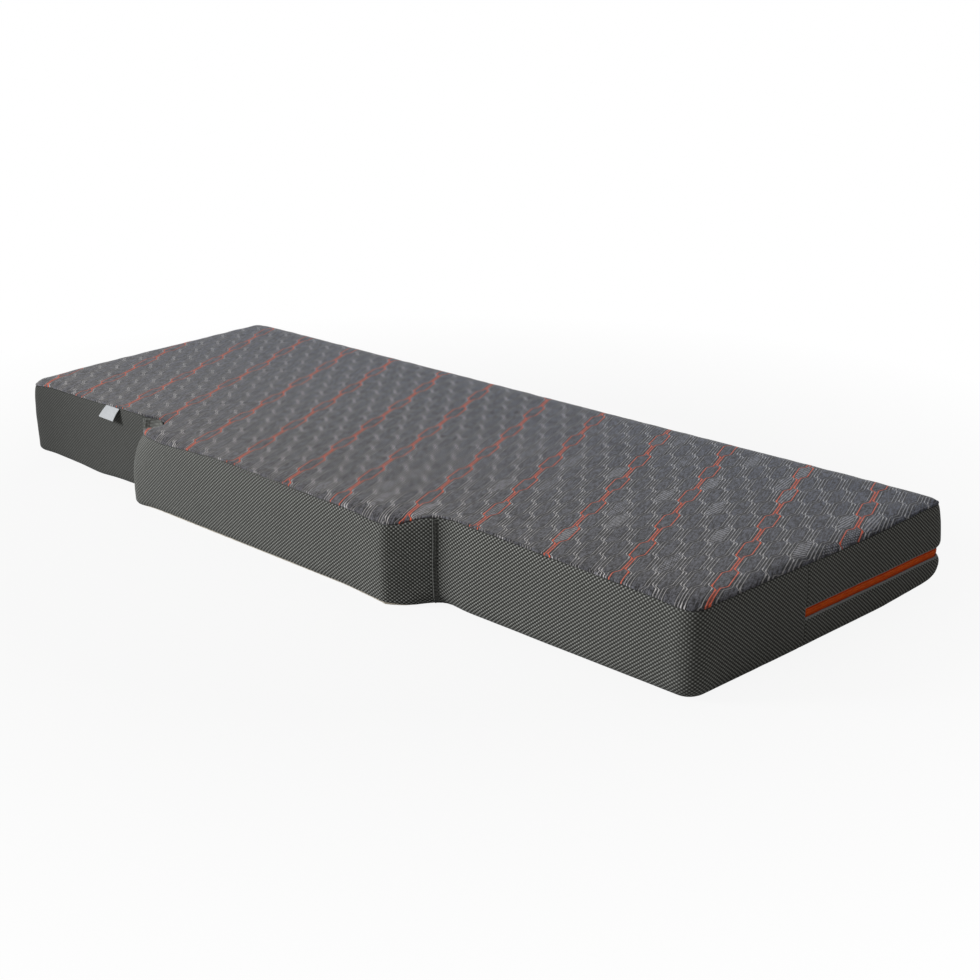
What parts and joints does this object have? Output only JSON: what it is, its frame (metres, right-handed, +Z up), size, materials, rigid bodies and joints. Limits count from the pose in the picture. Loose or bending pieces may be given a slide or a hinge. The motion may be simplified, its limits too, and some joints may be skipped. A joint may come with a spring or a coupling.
{
  "type": "bunk mattress",
  "caption": "Long foam cabin mattress in a zipped cover, with a middle that bulges to the front and slanted steps down to shallower ends.",
  "frame": {"origin": "centre of the bounding box, on the underside", "axes": "+X along the bunk towards the end with the zip's start, +Y to the long back edge, +Z up"},
  "size_m": [1.9958, 0.785, 0.1791],
  "materials": {
    "jacquard": "patterned knit, matt",
    "spacer_mesh": "knitted spacer mesh, matt",
    "underside": "plain woven, matt",
    "wadding": "loose fibre",
    "comfort_foam": "open-cell foam",
    "support_foam": "open-cell foam",
    "base_foam": "open-cell foam",
    "zip_tape": "woven tape",
    "zip_coil": "satin nylon coil",
    "zip_metal": "dark lacquered",
    "label": "smooth satin tape"
  },
  "bodies": {
    "mattress": {"base_foam": "base_foam", "support_foam": "support_foam", "comfort_foam": "comfort_foam", "top_wadding": "wadding", "top_panel": "jacquard", "bottom_panel": "underside", "border_left": "spacer_mesh", "border_bulge": "spacer_mesh", "border_right": "spacer_mesh", "border_zip_lower": "spacer_mesh", "border_zip_upper": "spacer_mesh", "zip_tape_lower": "zip_tape", "zip_coil_lower": "zip_coil", "zip_tape_upper": "zip_tape", "zip_coil_upper": "zip_coil", "seam_welt_left": "spacer_mesh", "seam_welt_right": "spacer_mesh"},
    "slider": {"zip_slider": "zip_metal"},
    "pull_tab": {"zip_pull": "zip_metal"},
    "label": {"care_label": "label"}
  },
  "joints": [
    {"name": "zip_slide", "type": "slide", "parent": "mattress", "child": "slider", "axis": [1, 0, 0], "range_m": [0, 1.83]},
    {"name": "pull_tab_swing", "type": "hinge", "parent": "slider", "child": "pull_tab", "pos_m": [-0.89898, 0.3896, 0.07], "axis": [0, 0, 1], "range_deg": [0, 170]},
    {"name": "label_flip", "type": "hinge", "parent": "mattress", "child": "label", "pos_m": [-0.606, -0.3266, 0.1695], "axis": [-1, 0, 0], "range_deg": [-30, 135], "stiffness_Nm_per_rad": 0.002}
  ]
}
